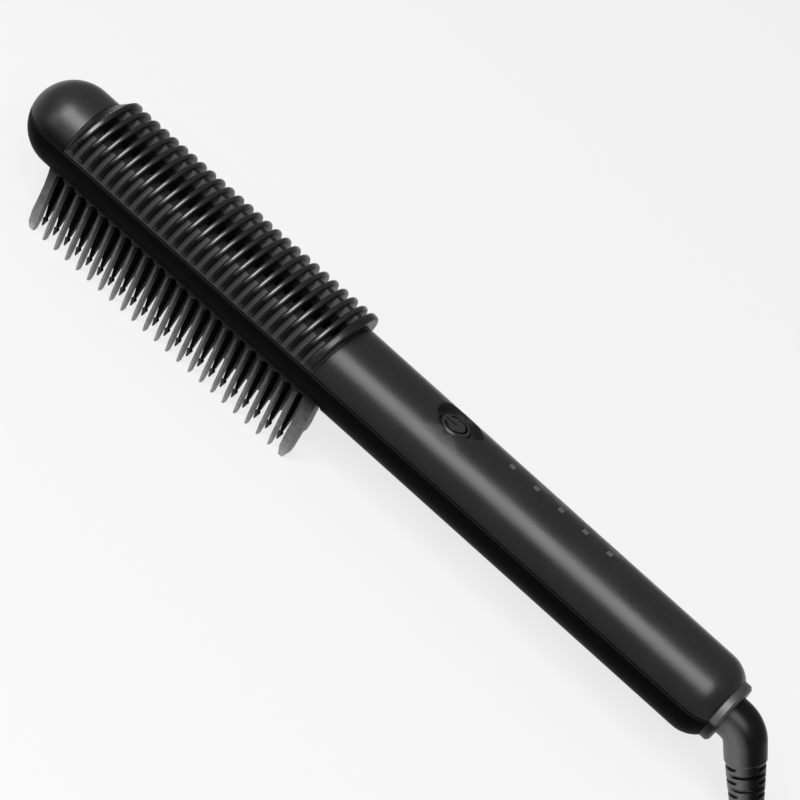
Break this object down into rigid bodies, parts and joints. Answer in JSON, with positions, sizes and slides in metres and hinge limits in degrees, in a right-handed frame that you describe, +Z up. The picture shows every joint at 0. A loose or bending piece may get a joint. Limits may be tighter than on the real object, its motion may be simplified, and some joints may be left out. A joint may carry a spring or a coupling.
{
  "type": "hot comb",
  "caption": "Corded hot comb: round handle with a push button and lights, ribbed guard over a half-round heated barrel, and a double comb with heated teeth between its blades.",
  "frame": {"origin": "centre of the object's box at its lowest plane, where the comb's tips stand, measured without the cord", "axes": "+X along the handle from the nose to the cord, +Z up from the comb's tips to the ribs, +Y across the handle"},
  "size_m": [0.473, 0.0646, 0.0529],
  "materials": {
    "shell_satin": "satin black",
    "shell_gloss": "glossy black",
    "guard_plastic": "satin black",
    "comb_plastic": "satin dark grey",
    "coated_metal": "black ceramic coating",
    "bead_plastic": "gloss black",
    "steel": "plated steel",
    "film": "amber film",
    "copper_alloy": "bare",
    "ceramic": "sintered ceramic",
    "heat_plastic": "heat-resistant moulding",
    "component": "moulded",
    "board": "green solder mask",
    "wire": "insulated wire",
    "diffuser": "smoked",
    "cord_rubber": "matt black",
    "plug_plastic": "matt black",
    "pin_metal": "nickel plated"
  },
  "bodies": {
    "handle": {"nose_cap": "shell_satin", "upper_shell": "shell_satin", "lower_shell": "shell_gloss", "rib_guard": "guard_plastic", "comb_frame": "comb_plastic", "barrel": "coated_metal", "fin_plate": "coated_metal", "tooth_caps": "bead_plastic", "plate_screws": "steel", "film_top": "film", "film_bottom": "film", "electrode_top": "copper_alloy", "electrode_bottom": "copper_alloy", "ptc_1": "ceramic", "ptc_2": "ceramic", "ptc_3": "ceramic", "front_bracket": "heat_plastic", "rear_bracket": "heat_plastic", "thermal_fuse": "component", "thermistor": "component", "heater_leads": "wire", "sensor_leads": "wire", "mains_leads": "wire", "circuit_board": "board", "board_screws": "steel", "case_screws": "steel", "control_chip": "component", "triac": "component", "film_capacitor": "component", "smoothing_capacitor": "component", "power_resistor": "component", "led_chips": "component", "light_pipe": "diffuser", "switch_body": "component", "end_collar": "shell_satin", "brush_block": "heat_plastic", "brush_live": "copper_alloy", "brush_neutral": "copper_alloy"},
    "button": {"power_button": "shell_satin", "button_icon": "shell_gloss", "switch_stem": "heat_plastic"},
    "cord": {"swivel_hub": "plug_plastic", "slip_ring_live": "copper_alloy", "slip_ring_neutral": "copper_alloy", "cord_boot": "cord_rubber", "cord_lead": "cord_rubber", "cord_hank": "cord_rubber", "cord_tail": "cord_rubber", "cord_tie": "cord_rubber", "plug_body": "plug_plastic", "plug_pin_live": "pin_metal", "plug_pin_neutral": "pin_metal"}
  },
  "joints": [
    {"name": "power_button_press", "type": "slide", "parent": "handle", "child": "button", "axis": [0, 0, -1], "range_m": [0, 0.0006], "stiffness_N_per_m": 2500},
    {"name": "cord_swivel", "type": "hinge", "parent": "handle", "child": "cord", "pos_m": [0.1445, 0, 0.0335], "axis": [1, 0, 0], "continuous": true}
  ]
}
